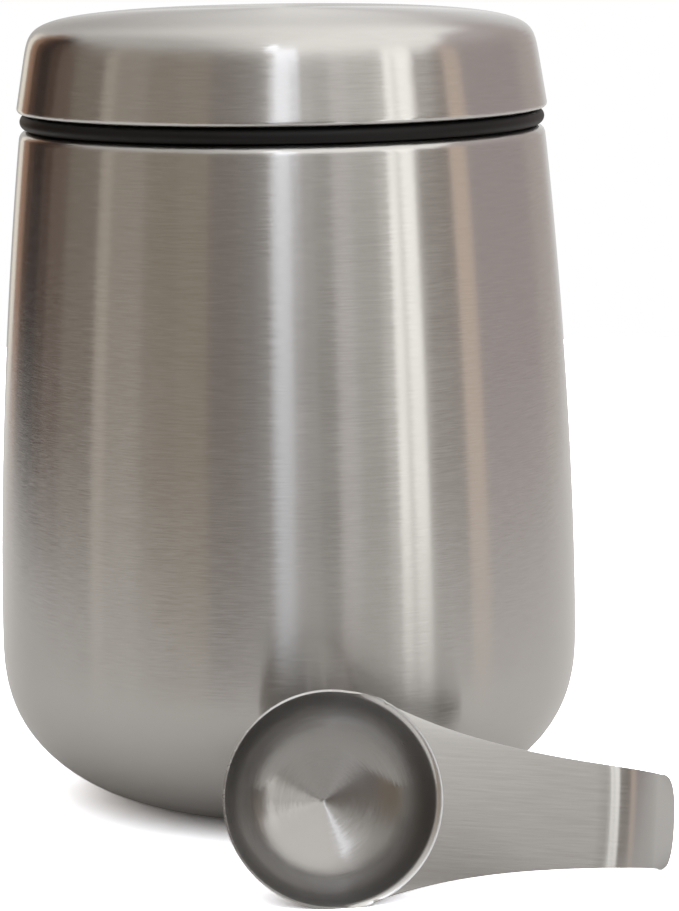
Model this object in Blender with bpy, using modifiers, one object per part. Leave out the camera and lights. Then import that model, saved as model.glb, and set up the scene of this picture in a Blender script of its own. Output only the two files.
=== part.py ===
"""Coffee canister in brushed steel, with a lift-off lid and a measuring scoop.

Blender 4.5, metres, +Z up. The origin is the centre of the face that the canister stands on, and
the front of the canister is towards -Y. Run it with blender --background --python part.py.
"""

from math import atan2, cos, exp, pi, radians, sin, tan

import bpy
from mathutils import Matrix, Vector

# Sheet and clearances
BODY_SHEET = 0.0008
LID_SHEET = 0.0008
SCOOP_SHEET = 0.0009
SEAT_GAP = 0.0003

# Canister body: the outer skin of the drawn jar
BELLY_RADIUS = 0.0650
BELLY_HEIGHT = 0.0384
SEAT_RADIUS = 0.0310
SHOULDER_RADIUS = 0.0586
SHOULDER_HEIGHT = 0.1516
SHOULDER_ROLL = 0.0020
WALL_LEAN = radians(7.4)
SHOULDER_LEDGE = 0.0050
MOUTH_ROLL = 0.0014
NECK_DEPTH = 0.0140
CORNER_OUT_POWER = 1.504
CORNER_UP_POWER = 2.691
WALL_LOWER_PULL_SHARE = 0.44
WALL_UPPER_PULL_SHARE = 0.05

# Anti-slip pad in the recess under the base
SEAT_RING = 0.0022
PAD_STANDOUT = 0.0006
PAD_EDGE_ROUND = 0.0004
RECESS_DEPTH = 0.0014
RECESS_ROLL = 0.0009

# Lid: a dome that leans in and is turned in at its edge as a hem
LID_OVERHANG = 0.0004
LID_BAND = 0.0040
LID_HEIGHT = 0.0224
LID_LEAN = radians(9.4)
DOME_SIDE_POWER = 11.965
DOME_TOP_POWER = 3.026
HEM_ROLL = 0.0010
HEM_LIP = 0.0030

# Lid plug, and the sealing ring in the space between it and the neck
SEAL_SPACE = 0.0028
PLUG_WALL = 0.0024
PLUG_FLANGE = 0.0018
PLUG_FOOT = 0.0013
PLUG_FOOT_STEP = 0.0012
PLUG_ROUND = 0.0008
BEAD_INSET = 0.0006
SEAL_WEB = 0.0008
SEAL_DEPTH = 0.0053
SEAL_LIP = 0.0006

# Scoop: bowl, ridge and handle, given on the skin that faces the bowl's opening
SCOOP_RIM_RADIUS = 0.0223
SCOOP_TAPER = radians(15.5)
SCOOP_WALL_DEPTH = 0.0118
SCOOP_DEPTH = 0.0176
SCOOP_CORNER = 0.0065
RIDGE_ROLL = 0.0016
RIDGE_FADE = radians(22)
HANDLE_ROOT_ANGLE = radians(66)
HANDLE_ROOT_SPREAD = 0.0110
HANDLE_HALF_WIDTH = 0.0087
HANDLE_SLOPE = radians(5.2)
HANDLE_BEND_START = 0.0554
HANDLE_BEND_RADIUS = 0.0183
HANDLE_END_SLOPE = radians(63)
HANDLE_END = 0.0135
HANDLE_TIP = 0.0085
HANDLE_TIP_POWER = 2.5
FLOOR_ROW_SHARES = (0.35, 0.7)

# Where the scoop stands in front of the canister, turned a little about the vertical
SCOOP_SIDE = 0.0081
SCOOP_CLEAR = 0.0136
SCOOP_TURN = radians(-5.6)

# How finely round forms are divided
ROUND_STEPS = 40
BOWL_STEPS = 28
HANDLE_STEPS = 16
RIDGE_STEPS = 4
MERGE = 0.00001

# Sizes and places that follow from the sizes above
MOUTH_RADIUS = SHOULDER_RADIUS - SHOULDER_LEDGE
PAD_RADIUS = SEAT_RADIUS - SEAT_RING
LID_EDGE_RADIUS = SHOULDER_RADIUS + LID_OVERHANG
PLUG_RADIUS = MOUTH_RADIUS - SEAL_SPACE
SEAT_HEIGHT = PAD_STANDOUT
LID_EDGE_HEIGHT = SHOULDER_HEIGHT + LID_BAND


def clear_scene():
    """Remove what the scene holds, so that the script can be run again."""
    for thing in list(bpy.data.objects):
        bpy.data.objects.remove(thing, do_unlink=True)


def make_material(name, colour, roughness, metallic):
    """One Principled material."""
    material = bpy.data.materials.new(name)
    material.use_nodes = True
    shader = material.node_tree.nodes["Principled BSDF"]
    shader.inputs["Base Color"].default_value = (*colour, 1.0)
    shader.inputs["Roughness"].default_value = roughness
    shader.inputs["Metallic"].default_value = metallic
    material.diffuse_color = (*colour, 1.0)
    return material


def arc(centre, radius, start, stop, steps):
    """Points on a circle in the profile plane, from one angle to another."""
    points = []
    for step in range(steps + 1):
        angle = start + (stop - start) * step / steps
        points.append((centre[0] + radius * cos(angle), centre[1] + radius * sin(angle)))
    return points


def bezier(corners, steps):
    """Points on a cubic curve through its first and last corner, leaving out the first."""
    points = []
    for step in range(1, steps + 1):
        t = step / steps
        weights = ((1 - t) ** 3, 3 * (1 - t) ** 2 * t, 3 * (1 - t) * t ** 2, t ** 3)
        points.append(tuple(sum(weight * corner[axis] for weight, corner in zip(weights, corners))
                            for axis in range(2)))
    return points


def add_object(name, mesh, material, collection):
    """Put a mesh in the collection under its node's name."""
    mesh.materials.append(material)
    thing = bpy.data.objects.new(name, mesh)
    collection.objects.link(thing)
    return thing


def turned(name, profile, material, collection):
    """Turn a profile of (radius, height) points about Z. It runs down its outer side.

    A profile that ends away from the axis and comes back to its start is a ring.
    """
    points = [(radius, 0.0, height) for radius, height in profile]
    edges = [(index, index + 1) for index in range(len(points) - 1)]
    if profile[0] == profile[-1]:
        points.pop()
        edges[-1] = (len(points) - 1, 0)
    mesh = bpy.data.meshes.new(name)
    mesh.from_pydata(points, edges, [])
    thing = add_object(name, mesh, material, collection)
    screw = thing.modifiers.new("turn", "SCREW")
    screw.axis = "Z"
    screw.steps = ROUND_STEPS
    screw.render_steps = ROUND_STEPS
    screw.use_merge_vertices = True
    screw.merge_threshold = MERGE
    screw.use_smooth_shade = True
    return thing


def give_wall(thing, thickness):
    """Give an open skin its sheet thickness, on the side away from its normals."""
    wall = thing.modifiers.new("wall", "SOLIDIFY")
    wall.thickness = thickness
    wall.offset = -1.0
    wall.use_even_offset = True


def body_profile():
    """The jar's skin: up the bore of the neck, over the shoulder, down the outside, across."""
    mouth = (MOUTH_RADIUS + MOUTH_ROLL, SHOULDER_HEIGHT - MOUTH_ROLL)
    shoulder = (SHOULDER_RADIUS - SHOULDER_ROLL * cos(WALL_LEAN), SHOULDER_HEIGHT - SHOULDER_ROLL)
    points = [(MOUTH_RADIUS, SHOULDER_HEIGHT - NECK_DEPTH)]
    points += arc(mouth, MOUTH_ROLL, pi, pi / 2, 3)
    points += arc(shoulder, SHOULDER_ROLL, pi / 2, WALL_LEAN, 4)
    wall_top = points[-1]
    rise = wall_top[1] - BELLY_HEIGHT
    upper_pull = WALL_UPPER_PULL_SHARE * rise
    lower_pull = WALL_LOWER_PULL_SHARE * rise
    points += bezier((wall_top,
                      (wall_top[0] + upper_pull * tan(WALL_LEAN), wall_top[1] - upper_pull),
                      (BELLY_RADIUS, BELLY_HEIGHT + lower_pull),
                      (BELLY_RADIUS, BELLY_HEIGHT)), 7)
    points += corner_points(12)
    recess_radius = PAD_RADIUS + SEAT_GAP
    points.append((recess_radius + RECESS_ROLL, SEAT_HEIGHT))
    points.append((recess_radius, SEAT_HEIGHT + RECESS_ROLL))
    points.append((recess_radius, SEAT_HEIGHT + RECESS_DEPTH))
    points.append((0.0, SEAT_HEIGHT + RECESS_DEPTH))
    return points


def corner_points(steps):
    """The big rounding from the belly in to the seat, a quarter of a superellipse."""
    points = []
    for step in range(1, steps + 1):
        angle = pi / 2 * (1 - step / steps)
        out = (BELLY_RADIUS - SEAT_RADIUS) * sin(angle) ** (2 / CORNER_OUT_POWER)
        down = (BELLY_HEIGHT - SEAT_HEIGHT) * cos(angle) ** (2 / CORNER_UP_POWER)
        points.append((SEAT_RADIUS + out, BELLY_HEIGHT - down))
    return points


def pad_profile():
    """The pad fills the recess and stands out below the steel."""
    top = SEAT_HEIGHT + RECESS_DEPTH - SEAT_GAP
    edge = (PAD_RADIUS - PAD_EDGE_ROUND, PAD_EDGE_ROUND)
    return [(0.0, top), (PAD_RADIUS, top)] + arc(edge, PAD_EDGE_ROUND, 0.0, -pi / 2, 2) + [(0.0, 0.0)]


def lid_side_radius(height):
    """Outer radius of the dome at a height above its edge plane."""
    foot = LID_EDGE_RADIUS - HEM_ROLL + HEM_ROLL * (tan(LID_LEAN) + 1 / cos(LID_LEAN))
    share = min(height / LID_HEIGHT, 1.0)
    return (foot - height * tan(LID_LEAN)) * (1 - share ** DOME_SIDE_POWER) ** (1 / DOME_TOP_POWER)


def lid_profile():
    """The dome from its centre down the side, round the hem and in along its lip."""
    steps = 13
    points = [(0.0, LID_HEIGHT)]
    for step in range(1, steps):
        height = LID_HEIGHT * sin(pi / 2 * (1 - step / steps)) ** (2 / DOME_SIDE_POWER)
        points.append((lid_side_radius(height), height))
    points.append((lid_side_radius(LID_HEIGHT / 3), LID_HEIGHT / 3))
    points += arc((LID_EDGE_RADIUS - HEM_ROLL, HEM_ROLL), HEM_ROLL, LID_LEAN, -pi / 2, 5)
    points.append((LID_EDGE_RADIUS - HEM_ROLL - HEM_LIP, 0.0))
    return points


def plug_profile():
    """A moulded cup under the dome: a flange behind the hem's lip, and a wall down into the neck."""
    flange_floor = LID_SHEET + SEAT_GAP
    flange_top = flange_floor + PLUG_FLANGE
    flange_radius = lid_side_radius(flange_top) - LID_SHEET / cos(LID_LEAN) - SEAT_GAP
    foot_top = -LID_BAND - SEAL_DEPTH
    bottom = foot_top - PLUG_FOOT
    inner = PLUG_RADIUS - PLUG_WALL
    foot_radius = PLUG_RADIUS + PLUG_FOOT_STEP
    corner = (foot_radius - PLUG_ROUND, bottom + PLUG_ROUND)
    return ([(0.0, bottom + PLUG_WALL), (inner, bottom + PLUG_WALL), (inner, flange_top),
             (flange_radius, flange_top), (flange_radius, flange_floor), (PLUG_RADIUS, flange_floor),
             (PLUG_RADIUS, foot_top), (foot_radius, foot_top)]
            + arc(corner, PLUG_ROUND, 0.0, -pi / 2, 2) + [(0.0, bottom)])


def seal_profile():
    """A collar in the hem, the bead that shows below it, and two lips in the neck."""
    inner = PLUG_RADIUS + SEAT_GAP
    web = inner + SEAL_WEB
    collar = LID_EDGE_RADIUS - HEM_ROLL - HEM_LIP - SEAT_GAP
    lip_reach = MOUTH_RADIUS - SEAT_GAP
    floor = SEAT_GAP - LID_BAND
    nose = (-SEAT_GAP - floor) / 2
    bead = (LID_EDGE_RADIUS - BEAD_INSET - nose, floor + nose)
    points = [(inner, LID_SHEET), (collar, LID_SHEET), (collar, -SEAT_GAP)]
    points += arc(bead, nose, pi / 2, -pi / 2, 6)
    points.append((MOUTH_RADIUS + SEAT_GAP, floor))
    points.append((web, floor - SEAL_LIP))
    pitch = (SEAL_DEPTH - SEAL_LIP) / 2
    for lip in (1, 2):
        tip = floor - pitch * lip + SEAL_LIP
        points.append((web, tip))
        points.append((lip_reach, tip + SEAL_LIP / 2))
        points.append((lip_reach, tip))
        points.append((web, tip - SEAL_LIP))
    points.append((inner, floor - SEAL_DEPTH))
    points.append(points[0])
    return points


def bowl_section():
    """The scoop's skin from the middle of its floor to where the ridge's roll starts."""
    rim = SCOOP_RIM_RADIUS - SCOOP_SHEET * cos(SCOOP_TAPER)
    floor_radius = rim - SCOOP_WALL_DEPTH * tan(SCOOP_TAPER)
    floor_slope = atan2(SCOOP_DEPTH - SCOOP_WALL_DEPTH, floor_radius)
    setback = SCOOP_CORNER / tan((pi / 2 + SCOOP_TAPER + floor_slope) / 2)
    cone_end = (floor_radius - setback * cos(floor_slope),
                -SCOOP_WALL_DEPTH - setback * sin(floor_slope))
    corner = (cone_end[0] - SCOOP_CORNER * sin(floor_slope),
              cone_end[1] + SCOOP_CORNER * cos(floor_slope))
    roll_drop = RIDGE_ROLL * (1 - sin(SCOOP_TAPER))
    wall_end = (rim - roll_drop * tan(SCOOP_TAPER), -roll_drop)
    points = [(0.0, -SCOOP_DEPTH)]
    for share in FLOOR_ROW_SHARES:
        points.append((cone_end[0] * share, (cone_end[1] + SCOOP_DEPTH) * share - SCOOP_DEPTH))
    points += arc(corner, SCOOP_CORNER, floor_slope - pi / 2, -SCOOP_TAPER, 4)
    points.append(((points[-1][0] + wall_end[0]) / 2, (points[-1][1] + wall_end[1]) / 2))
    points.append(wall_end)
    return points, rim


def ridge_section(wall_end, rim, roll_share):
    """From the wall up to the rim: straight where the share is 0, rolled over where it is 1."""
    centre = (wall_end[0] + RIDGE_ROLL * cos(SCOOP_TAPER), wall_end[1] - RIDGE_ROLL * sin(SCOOP_TAPER))
    rolled = arc(centre, RIDGE_ROLL, pi - SCOOP_TAPER, pi / 2, RIDGE_STEPS)
    points = []
    for step in range(1, RIDGE_STEPS + 1):
        along = step / RIDGE_STEPS
        straight = (wall_end[0] + (rim - wall_end[0]) * along, wall_end[1] * (1 - along))
        points.append(tuple(plain + (turn - plain) * roll_share
                            for plain, turn in zip(straight, rolled[step])))
    return points


def ridge_share(angle):
    """How far the rim is rolled over at an angle from the handle: fully at its root, then fading."""
    past = min(max((abs(angle) - HANDLE_ROOT_ANGLE) / RIDGE_FADE, 0.0), 1.0)
    return 1 - past * past * (3 - 2 * past)


def handle_stretches(crest):
    """The stretches of the handle's middle: (length, radius or None where straight, first slope)."""
    level = RIDGE_ROLL * sin(HANDLE_SLOPE) + crest
    return ((RIDGE_ROLL * HANDLE_SLOPE, RIDGE_ROLL, 0.0),
            ((HANDLE_BEND_START - level) / cos(HANDLE_SLOPE), None, HANDLE_SLOPE),
            (HANDLE_BEND_RADIUS * (HANDLE_END_SLOPE - HANDLE_SLOPE), HANDLE_BEND_RADIUS, HANDLE_SLOPE),
            (HANDLE_END, None, HANDLE_END_SLOPE))


def handle_place(crest, length):
    """Where the handle's middle is at a length along its sheet: (reach, fall below the rim)."""
    reach = crest
    fall = 0.0
    for stretch, radius, slope in handle_stretches(crest):
        run = min(length, stretch)
        if radius is None:
            reach += run * cos(slope)
            fall += run * sin(slope)
        else:
            turn = slope + run / radius
            reach += radius * (sin(turn) - sin(slope))
            fall += radius * (cos(slope) - cos(turn))
        length -= run
    return reach, fall


def handle_lengths(crest):
    """Lengths along the sheet at which the handle has a row of points."""
    lengths = [0.0]
    for stretch, rows in zip(handle_stretches(crest), (1, 6, 5, 4)):
        start = lengths[-1]
        lengths += [start + stretch[0] * row / rows for row in range(1, rows + 1)]
    return lengths


def handle_row(crest, length, whole, shares):
    """One row across the handle. Rows follow the rim at the root and the rounded end at the tip."""
    root_reach = crest * cos(HANDLE_ROOT_ANGLE)
    root_half = crest * sin(HANDLE_ROOT_ANGLE)
    fade = (root_half - HANDLE_HALF_WIDTH) * tan(HANDLE_ROOT_ANGLE)
    bulge = (crest - root_reach) * exp(-length / HANDLE_ROOT_SPREAD)
    tip_share = max(0.0, 1 - (whole - length) / (2 * HANDLE_TIP))
    tip = HANDLE_TIP * tip_share ** 2
    edge_reach = handle_place(crest, length - tip)[0] - bulge
    half = HANDLE_HALF_WIDTH + (root_half - HANDLE_HALF_WIDTH) * exp((root_reach - edge_reach) / fade)
    row = []
    for share in shares:
        across = sin(HANDLE_ROOT_ANGLE * share) / sin(HANDLE_ROOT_ANGLE)
        back = (1 - cos(HANDLE_ROOT_ANGLE * share)) / (1 - cos(HANDLE_ROOT_ANGLE))
        left = max(0.0, 1 - abs(across) ** HANDLE_TIP_POWER) ** (1 / HANDLE_TIP_POWER)
        reach, fall = handle_place(crest, length - tip * (1 - left))
        row.append((reach - bulge * back, half * across, -fall))
    return row


def scoop_mesh():
    """The scoop's skin as one net: rings of the bowl, then rows across the handle."""
    section, rim = bowl_section()
    crest = ridge_section(section[-1], rim, 1.0)[-1][0]
    shares = [2 * step / HANDLE_STEPS - 1 for step in range(HANDLE_STEPS + 1)]
    open_angle = 2 * (pi - HANDLE_ROOT_ANGLE)
    angles = [HANDLE_ROOT_ANGLE * share for share in shares]
    angles += [HANDLE_ROOT_ANGLE + open_angle * step / BOWL_STEPS for step in range(1, BOWL_STEPS)]
    columns = []
    for angle in angles:
        from_handle = min(angle, 2 * pi - angle) if angle > 0 else angle
        ridge = ridge_section(section[-1], rim, ridge_share(from_handle))
        columns.append([(radius * cos(angle), radius * sin(angle), height)
                        for radius, height in section[1:] + ridge])
    points = [(0.0, 0.0, section[0][1])]
    rings = []
    for ring in zip(*columns):
        rings.append(list(range(len(points), len(points) + len(ring))))
        points += ring
    lengths = handle_lengths(crest)
    rows = [rings[-1][:HANDLE_STEPS + 1]]
    for length in lengths[1:]:
        row = handle_row(crest, length, lengths[-1], shares)
        rows.append(list(range(len(points), len(points) + len(row))))
        points += row
    faces = [(0, first, second) for first, second in zip(rings[0], rings[0][1:] + rings[0][:1])]
    for inner, outer in zip(rings, rings[1:]):
        faces += strip(inner + inner[:1], outer + outer[:1])
    for near, far in zip(rows, rows[1:]):
        faces += strip(near, far)
    mesh = bpy.data.meshes.new("scoop")
    mesh.from_pydata(points, [], faces)
    mesh.shade_smooth()
    return mesh


def strip(near, far):
    """Faces between two rows of as many points."""
    return [(near[index], far[index], far[index + 1], near[index + 1]) for index in range(len(near) - 1)]


def stand_scoop(scoop):
    """Lay the bowl's wall on the table, opening to the front, and turn it until the handle rests."""
    bpy.context.view_layer.update()
    solid = scoop.evaluated_get(bpy.context.evaluated_depsgraph_get()).to_mesh()
    points = [vertex.co.copy() for vertex in solid.vertices]
    bowl = [point for point in points if point.x < HANDLE_BEND_START]
    end = [point for point in points if point.x >= HANDLE_BEND_START]
    lean = Matrix.Rotation(-SCOOP_TURN, 3, "Z") @ Matrix.Rotation(pi / 2 - SCOOP_TAPER, 3, "X")

    def lowest(group, roll):
        pose = lean @ Matrix.Rotation(-roll, 3, "Z")
        return min((pose @ point).z for point in group)

    low, high = -pi / 6, pi / 3
    for _ in range(40):
        roll = (low + high) / 2
        if lowest(end, roll) > lowest(bowl, roll):
            low = roll
        else:
            high = roll
    front = BELLY_RADIUS + SCOOP_CLEAR + (SCOOP_DEPTH + SCOOP_SHEET) * cos(SCOOP_TAPER)
    scoop.rotation_euler = (lean @ Matrix.Rotation(-roll, 3, "Z")).to_euler()
    scoop.location = Vector((SCOOP_SIDE, -front, -lowest(points, roll)))


def build():
    """Make every piece of the canister, its lid and its scoop."""
    clear_scene()
    collection = bpy.data.collections.new("coffee_canister")
    bpy.context.scene.collection.children.link(collection)
    steel = make_material("brushed_steel", (0.50, 0.48, 0.46), 0.32, 1.0)
    silicone = make_material("black_silicone", (0.020, 0.020, 0.022), 0.55, 0.0)
    plastic = make_material("black_plastic", (0.025, 0.025, 0.027), 0.45, 0.0)
    rubber = make_material("black_rubber", (0.018, 0.018, 0.018), 0.80, 0.0)

    give_wall(turned("canister_body", body_profile(), steel, collection), BODY_SHEET)
    turned("base_pad", pad_profile(), rubber, collection)

    lid_lift = bpy.data.objects.new("lid_lift", None)
    lid_lift.location = (0.0, 0.0, LID_EDGE_HEIGHT)
    collection.objects.link(lid_lift)
    lid_shell = turned("lid_shell", lid_profile(), steel, collection)
    give_wall(lid_shell, LID_SHEET)
    lid_plug = turned("lid_plug", plug_profile(), plastic, collection)
    lid_seal = turned("lid_seal", seal_profile(), silicone, collection)
    for piece in (lid_shell, lid_plug, lid_seal):
        piece.parent = lid_lift

    scoop = add_object("scoop", scoop_mesh(), steel, collection)
    give_wall(scoop, SCOOP_SHEET)
    stand_scoop(scoop)


build()
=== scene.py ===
from math import atan2, cos, pi, radians, sin, tan

import bpy
import numpy as np
from mathutils import Matrix


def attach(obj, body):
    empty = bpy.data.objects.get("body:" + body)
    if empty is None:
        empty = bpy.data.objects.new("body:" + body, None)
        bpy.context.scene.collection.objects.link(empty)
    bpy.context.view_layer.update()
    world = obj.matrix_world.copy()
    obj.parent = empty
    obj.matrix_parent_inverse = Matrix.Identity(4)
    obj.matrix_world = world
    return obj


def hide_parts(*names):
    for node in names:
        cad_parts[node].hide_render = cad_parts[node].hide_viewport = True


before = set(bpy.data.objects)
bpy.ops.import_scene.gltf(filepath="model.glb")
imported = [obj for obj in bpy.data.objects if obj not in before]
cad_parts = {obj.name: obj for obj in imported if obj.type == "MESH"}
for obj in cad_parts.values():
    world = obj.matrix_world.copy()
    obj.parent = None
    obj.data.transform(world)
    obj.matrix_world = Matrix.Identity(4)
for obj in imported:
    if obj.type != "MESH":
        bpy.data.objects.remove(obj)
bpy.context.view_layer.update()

# Sheet and clearances, in metres as all lengths here
BODY_SHEET = 0.0008
LID_SHEET = 0.0008
SCOOP_SHEET = 0.0009
SEAT_GAP = 0.0003

# Canister body
BELLY_RADIUS = 0.0650
BELLY_HEIGHT = 0.0384
SEAT_RADIUS = 0.0310
SHOULDER_RADIUS = 0.0586
SHOULDER_HEIGHT = 0.1516
SHOULDER_ROLL = 0.0020
SHOULDER_LEDGE = 0.0050
WALL_LEAN = radians(7.4)
MOUTH_ROLL = 0.0014
NECK_DEPTH = 0.0140
CORNER_OUT_POWER = 1.504
CORNER_UP_POWER = 2.691
WALL_LOWER_PULL_SHARE = 0.44
WALL_UPPER_PULL_SHARE = 0.05

# Anti-slip pad
SEAT_RING = 0.0022
PAD_STANDOUT = 0.0006
PAD_EDGE_ROUND = 0.0004
RECESS_DEPTH = 0.0014
RECESS_ROLL = 0.0009
PAD_RIB_DEPTH = 0.00008
PAD_RIB_PITCH = 0.0016
PAD_RIB_MARGIN = 0.0020

# Lid, plug and sealing ring
LID_OVERHANG = 0.0004
LID_BAND = 0.0040
LID_HEIGHT = 0.0224
LID_LEAN = radians(9.4)
DOME_SIDE_POWER = 11.965
DOME_TOP_POWER = 3.026
HEM_ROLL = 0.0010
HEM_LIP = 0.0030
SEAL_SPACE = 0.0028
PLUG_WALL = 0.0024
PLUG_FLANGE = 0.0018
PLUG_FOOT = 0.0013
PLUG_FOOT_STEP = 0.0012
PLUG_ROUND = 0.0008
BEAD_INSET = 0.0006
SEAL_WEB = 0.0008
SEAL_DEPTH = 0.0053
SEAL_LIP = 0.0006

# Scoop
SCOOP_RIM_RADIUS = 0.0223
SCOOP_TAPER = radians(15.5)
SCOOP_WALL_DEPTH = 0.0118
SCOOP_DEPTH = 0.0176
SCOOP_CORNER = 0.0150
SCOOP_THINNING = 0.00045
SCOOP_EDGE_ROUND = 0.0002
SCOOP_EDGE_ANGLE = radians(50)
RIDGE_ROLL = 0.0020
RIDGE_FADE = radians(20)
HANDLE_ROOT_ANGLE = radians(65)
HANDLE_ROOT_SPREAD = 0.0110
HANDLE_HALF_WIDTH = 0.0087
HANDLE_SLOPE = radians(5.2)
HANDLE_BEND_START = 0.0554
HANDLE_BEND_RADIUS = 0.0183
HANDLE_END_SLOPE = radians(63)
HANDLE_END = 0.0135
HANDLE_TIP = 0.0085
HANDLE_TIP_POWER = 2.5
SCOOP_SIDE = 0.0081
SCOOP_FRONT = 0.0964
SCOOP_HEIGHT = 0.02155
SCOOP_TURN = radians(-5.6)
SCOOP_ROLL = radians(5.75)

# Sizes that follow
MOUTH_RADIUS = SHOULDER_RADIUS - SHOULDER_LEDGE
PAD_RADIUS = SEAT_RADIUS - SEAT_RING
LID_EDGE_RADIUS = SHOULDER_RADIUS + LID_OVERHANG
PLUG_RADIUS = MOUTH_RADIUS - SEAL_SPACE
SEAT_HEIGHT = PAD_STANDOUT
LID_EDGE_HEIGHT = SHOULDER_HEIGHT + LID_BAND

# How finely the pieces are divided, and the lengths below which points count as one or as on the axis
TURN_STEPS = 320
BOWL_STEPS = 200
HANDLE_STEPS = 72
HANDLE_STRETCH_ROWS = (3, 50, 34, 24)
RIDGE_POINTS = 14
SAME_POINT = 1e-7
ON_AXIS = 1e-9
LEAST_STEP = 1e-6

# Brushing: the map's units in a metre, and where the lines' noise is read round an axis or on the handle
MAP_SCALE = 10
TURNED_GRAIN_RADIUS = 0.06
BOWL_GRAIN_RADIUS = 0.02
HANDLE_GRAIN_SIDE = 0.03

# Wear: bends of this radius or tighter are worn all through. The painted highlight along the
# scoop's ridge: how flat it is on top, and its lighter steel
WEAR_RADIUS = 0.0012
CREST_HIGHLIGHT_POWER = 0.6
CREST_HIGHLIGHT_STEEL = (0.72, 0.71, 0.70, 1)

# Camera: its place, its turns in radians, and its focal length in pixels of the frame's height
CAMERA_PLACE = (0.0, -0.860, 0.2133133)
CAMERA_PITCH = 0.1571
CAMERA_YAW = 0.0138
CAMERA_TIP = 0.0125
FOCAL_PIXELS = 3850.1
FRAME_HEIGHT = 911
SENSOR = 36.0


# Profiles of the turned pieces: arrays of (radius, height), whose outer side is on the left of the way

def arc(centre, radius, start, stop, count):
    """Points at centre + radius * (cos, sin) of angles spread evenly from start to stop."""
    angles = np.linspace(start, stop, count)
    return np.stack([centre[0] + radius * np.cos(angles), centre[1] + radius * np.sin(angles)], 1)


def straight(first, last, count):
    """Points spread evenly on a line, both ends included."""
    share = np.linspace(0, 1, count)[:, None]
    return np.array(first) * (1 - share) + np.array(last) * share


def bezier(corners, count):
    """Cubic curve: corners weighted by (1-t)^3, 3t(1-t)^2, 3t^2(1-t) and t^3."""
    t = np.linspace(0, 1, count)
    weights = np.stack([(1 - t) ** 3, 3 * (1 - t) ** 2 * t, 3 * (1 - t) * t ** 2, t ** 3], 1)
    return weights @ np.array(corners)


def joined(*stretches):
    """One profile from several, with points that coincide kept once."""
    points = np.concatenate([np.atleast_2d(stretch) for stretch in stretches])
    apart = np.hypot(*np.diff(points, axis=0).T) > SAME_POINT
    return points[np.concatenate([[True], apart])]


def facing(profile):
    """Unit normals on the outer side: each direction of travel turned a quarter turn to its left."""
    travel = np.gradient(profile, axis=0)
    travel /= np.hypot(*travel.T)[:, None]
    return np.stack([-travel[:, 1], travel[:, 0]], 1)


def with_wall(skin, thickness):
    """A sheet's whole section: its skin, then the same set back by the thickness, the way back."""
    return np.concatenate([skin, (skin - thickness * facing(skin))[::-1]])


def body_profile():
    """The jar: bore of the neck, mouth, ledge, shoulder, wall, belly corner, seat and recess.

    The wall is a cubic curve that leaves the shoulder at WALL_LEAN and is upright at the belly.
    """
    mouth = (MOUTH_RADIUS + MOUTH_ROLL, SHOULDER_HEIGHT - MOUTH_ROLL)
    shoulder = (SHOULDER_RADIUS - SHOULDER_ROLL * cos(WALL_LEAN), SHOULDER_HEIGHT - SHOULDER_ROLL)
    shoulder_roll = arc(shoulder, SHOULDER_ROLL, pi / 2, WALL_LEAN, 12)
    top = shoulder_roll[-1]
    rise = top[1] - BELLY_HEIGHT
    upper_pull = WALL_UPPER_PULL_SHARE * rise
    lower_pull = WALL_LOWER_PULL_SHARE * rise
    wall = bezier([top, (top[0] + upper_pull * tan(WALL_LEAN), top[1] - upper_pull),
                   (BELLY_RADIUS, BELLY_HEIGHT + lower_pull), (BELLY_RADIUS, BELLY_HEIGHT)], 60)
    recess = PAD_RADIUS + SEAT_GAP
    roof = SEAT_HEIGHT + RECESS_DEPTH
    return joined(
        straight((MOUTH_RADIUS, SHOULDER_HEIGHT - NECK_DEPTH), (MOUTH_RADIUS, mouth[1]), 14),
        arc(mouth, MOUTH_ROLL, pi, pi / 2, 10),
        straight((mouth[0], SHOULDER_HEIGHT), (shoulder[0], SHOULDER_HEIGHT), 4),
        shoulder_roll, wall, belly_corner(44),
        straight((SEAT_RADIUS, SEAT_HEIGHT), (recess + RECESS_ROLL, SEAT_HEIGHT), 3),
        arc((recess + RECESS_ROLL, SEAT_HEIGHT + RECESS_ROLL), RECESS_ROLL, -pi / 2, -pi, 5),
        straight((recess, SEAT_HEIGHT + RECESS_ROLL), (recess, roof), 3),
        straight((recess, roof), (0, roof), 8))


def belly_corner(count):
    """A quarter of a superellipse from the belly in to the seat: sin and cos to shaped powers."""
    angles = np.linspace(pi / 2, 0, count)
    out = (BELLY_RADIUS - SEAT_RADIUS) * np.sin(angles) ** (2 / CORNER_OUT_POWER)
    down = (BELLY_HEIGHT - SEAT_HEIGHT) * np.clip(np.cos(angles), 0, 1) ** (2 / CORNER_UP_POWER)
    return np.stack([SEAT_RADIUS + out, BELLY_HEIGHT - down], 1)


def pad_profile():
    """A round pad with shallow concentric ribs on its underside: depth * (1 - cos) of the radius."""
    top = SEAT_HEIGHT + RECESS_DEPTH - SEAT_GAP
    edge = (PAD_RADIUS - PAD_EDGE_ROUND, PAD_EDGE_ROUND)
    radii = np.linspace(edge[0], 0, 120)
    ribbed = radii < edge[0] - PAD_RIB_MARGIN
    ribs = PAD_RIB_DEPTH * (1 - np.cos(radii / PAD_RIB_PITCH * 2 * pi)) * ribbed
    return joined(straight((0, top), (PAD_RADIUS, top), 6), arc(edge, PAD_EDGE_ROUND, 0, -pi / 2, 6),
                  np.stack([radii, ribs], 1))


def lid_side_radius(height):
    """The leaning side times (1 - share^DOME_SIDE_POWER)^(1 / DOME_TOP_POWER), share being of the height."""
    foot = LID_EDGE_RADIUS - HEM_ROLL + HEM_ROLL * (tan(LID_LEAN) + 1 / cos(LID_LEAN))
    share = np.clip(height / LID_HEIGHT, 0, 1)
    return (foot - height * tan(LID_LEAN)) * (1 - share ** DOME_SIDE_POWER) ** (1 / DOME_TOP_POWER)


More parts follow.
